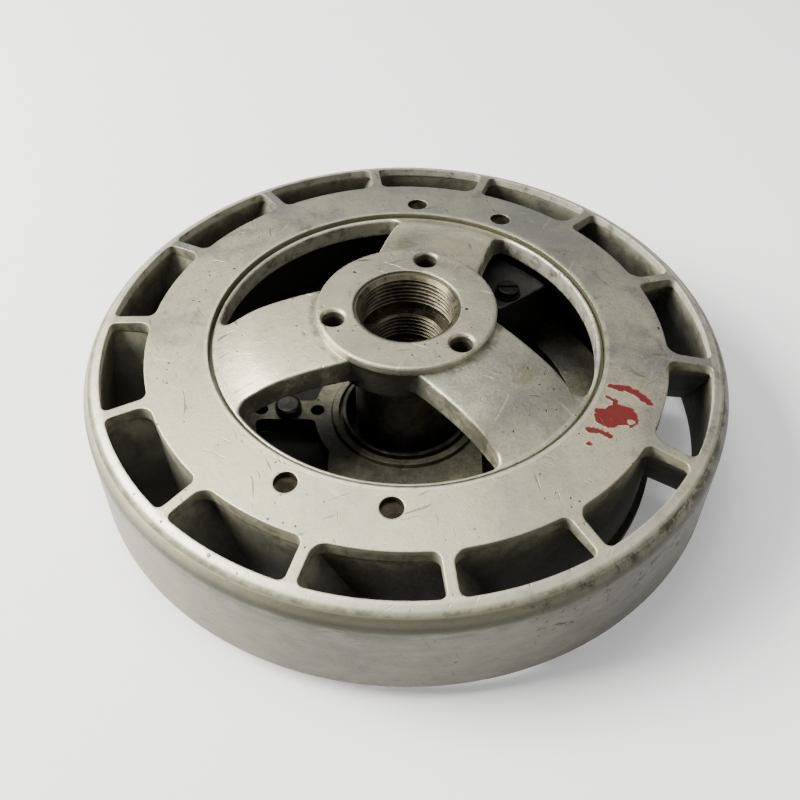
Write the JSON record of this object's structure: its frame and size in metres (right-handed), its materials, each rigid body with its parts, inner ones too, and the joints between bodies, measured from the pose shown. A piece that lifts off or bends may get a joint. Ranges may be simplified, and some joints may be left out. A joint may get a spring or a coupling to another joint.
{
  "type": "flywheel",
  "caption": "Cast fan flywheel with windows in the rim, a spoked hub with a threaded steel sleeve, and the magneto armature plate it turns around.",
  "frame": {"origin": "on the axis of rotation, at the height of the drum's lower edge, which the flywheel rests on", "axes": "+Z along the axis of rotation towards the hub flange; +X along the arm of the armature plate that carries one of the two plate screws"},
  "size_m": [0.2, 0.2, 0.055],
  "materials": {
    "cast_aluminium": "weathered sand-cast aluminium, grey, with oil film and fine pores",
    "machined_casting": "cast aluminium with a turned flange face, lightly corroded",
    "sleeve_steel": "turned steel, dark and oily",
    "rivet": "flat brownish rivet heads",
    "shoe_iron": "dark soft iron with an oil film",
    "magnet": "dark magnet alloy",
    "plate_casting": "cast aluminium, rough and oily",
    "bush": "plain turned collar",
    "screw_steel": "zinc-plated steel, worn",
    "core_iron": "stacked iron laminations",
    "copper": "enamelled copper wire",
    "potting": "black moulded resin",
    "terminal_brass": "plain brass tab"
  },
  "bodies": {
    "armature": {"armature_plate": "plate_casting", "collar_bush": "bush", "plate_screws": "screw_steel", "coil_core": "core_iron", "primary_winding": "copper", "secondary_winding": "copper", "coil_block": "potting", "coil_washers": "screw_steel", "coil_screws": "screw_steel", "coil_terminal": "terminal_brass"},
    "flywheel": {"fan_ring": "cast_aluminium", "spider": "machined_casting", "hub_sleeve": "sleeve_steel", "ring_rivets": "rivet", "pole_shoe_1": "shoe_iron", "pole_shoe_2": "shoe_iron", "pole_shoe_3": "shoe_iron", "pole_shoe_4": "shoe_iron", "magnet_1": "magnet", "magnet_2": "magnet"}
  },
  "joints": [
    {"name": "flywheel_spin", "type": "hinge", "parent": "armature", "child": "flywheel", "pos_m": [0, 0, 0], "axis": [0, 0, 1], "continuous": true}
  ]
}
